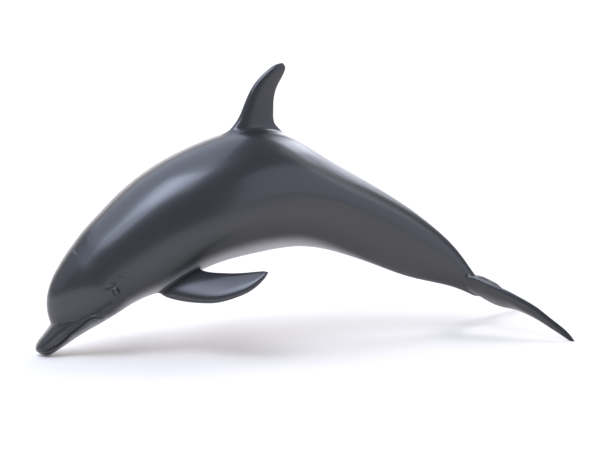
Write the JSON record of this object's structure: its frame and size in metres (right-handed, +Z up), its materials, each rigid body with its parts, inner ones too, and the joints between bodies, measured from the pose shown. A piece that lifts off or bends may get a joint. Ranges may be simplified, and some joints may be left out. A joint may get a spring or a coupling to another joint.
{
  "type": "bottlenose dolphin toy figure",
  "caption": "Glossy dark grey moulded toy figure of a bottlenose dolphin, arched as in a leap, resting on its beak tip and its fluke tips.",
  "frame": {"origin": "centre of the figure's footprint, on the surface it stands on", "axes": "+Z up, head toward -X, tail toward +X, the dolphin's left side toward -Y"},
  "size_m": [0.1776, 0.0586, 0.0938],
  "materials": {
    "skin": "dark blue-grey moulded plastic with a soft gloss, sprayed paler on the throat and belly",
    "eye": "black gloss paint"
  },
  "bodies": {
    "root": {"beak_upper": "skin", "jaw_lower": "skin", "head": "skin", "chest": "skin", "trunk": "skin", "loins": "skin", "tail_stock": "skin", "dorsal_fin": "skin", "flipper_left": "skin", "flipper_right": "skin", "fluke_left": "skin", "fluke_right": "skin", "eye_left": "eye", "eye_right": "eye"}
  },
  "joints": []
}
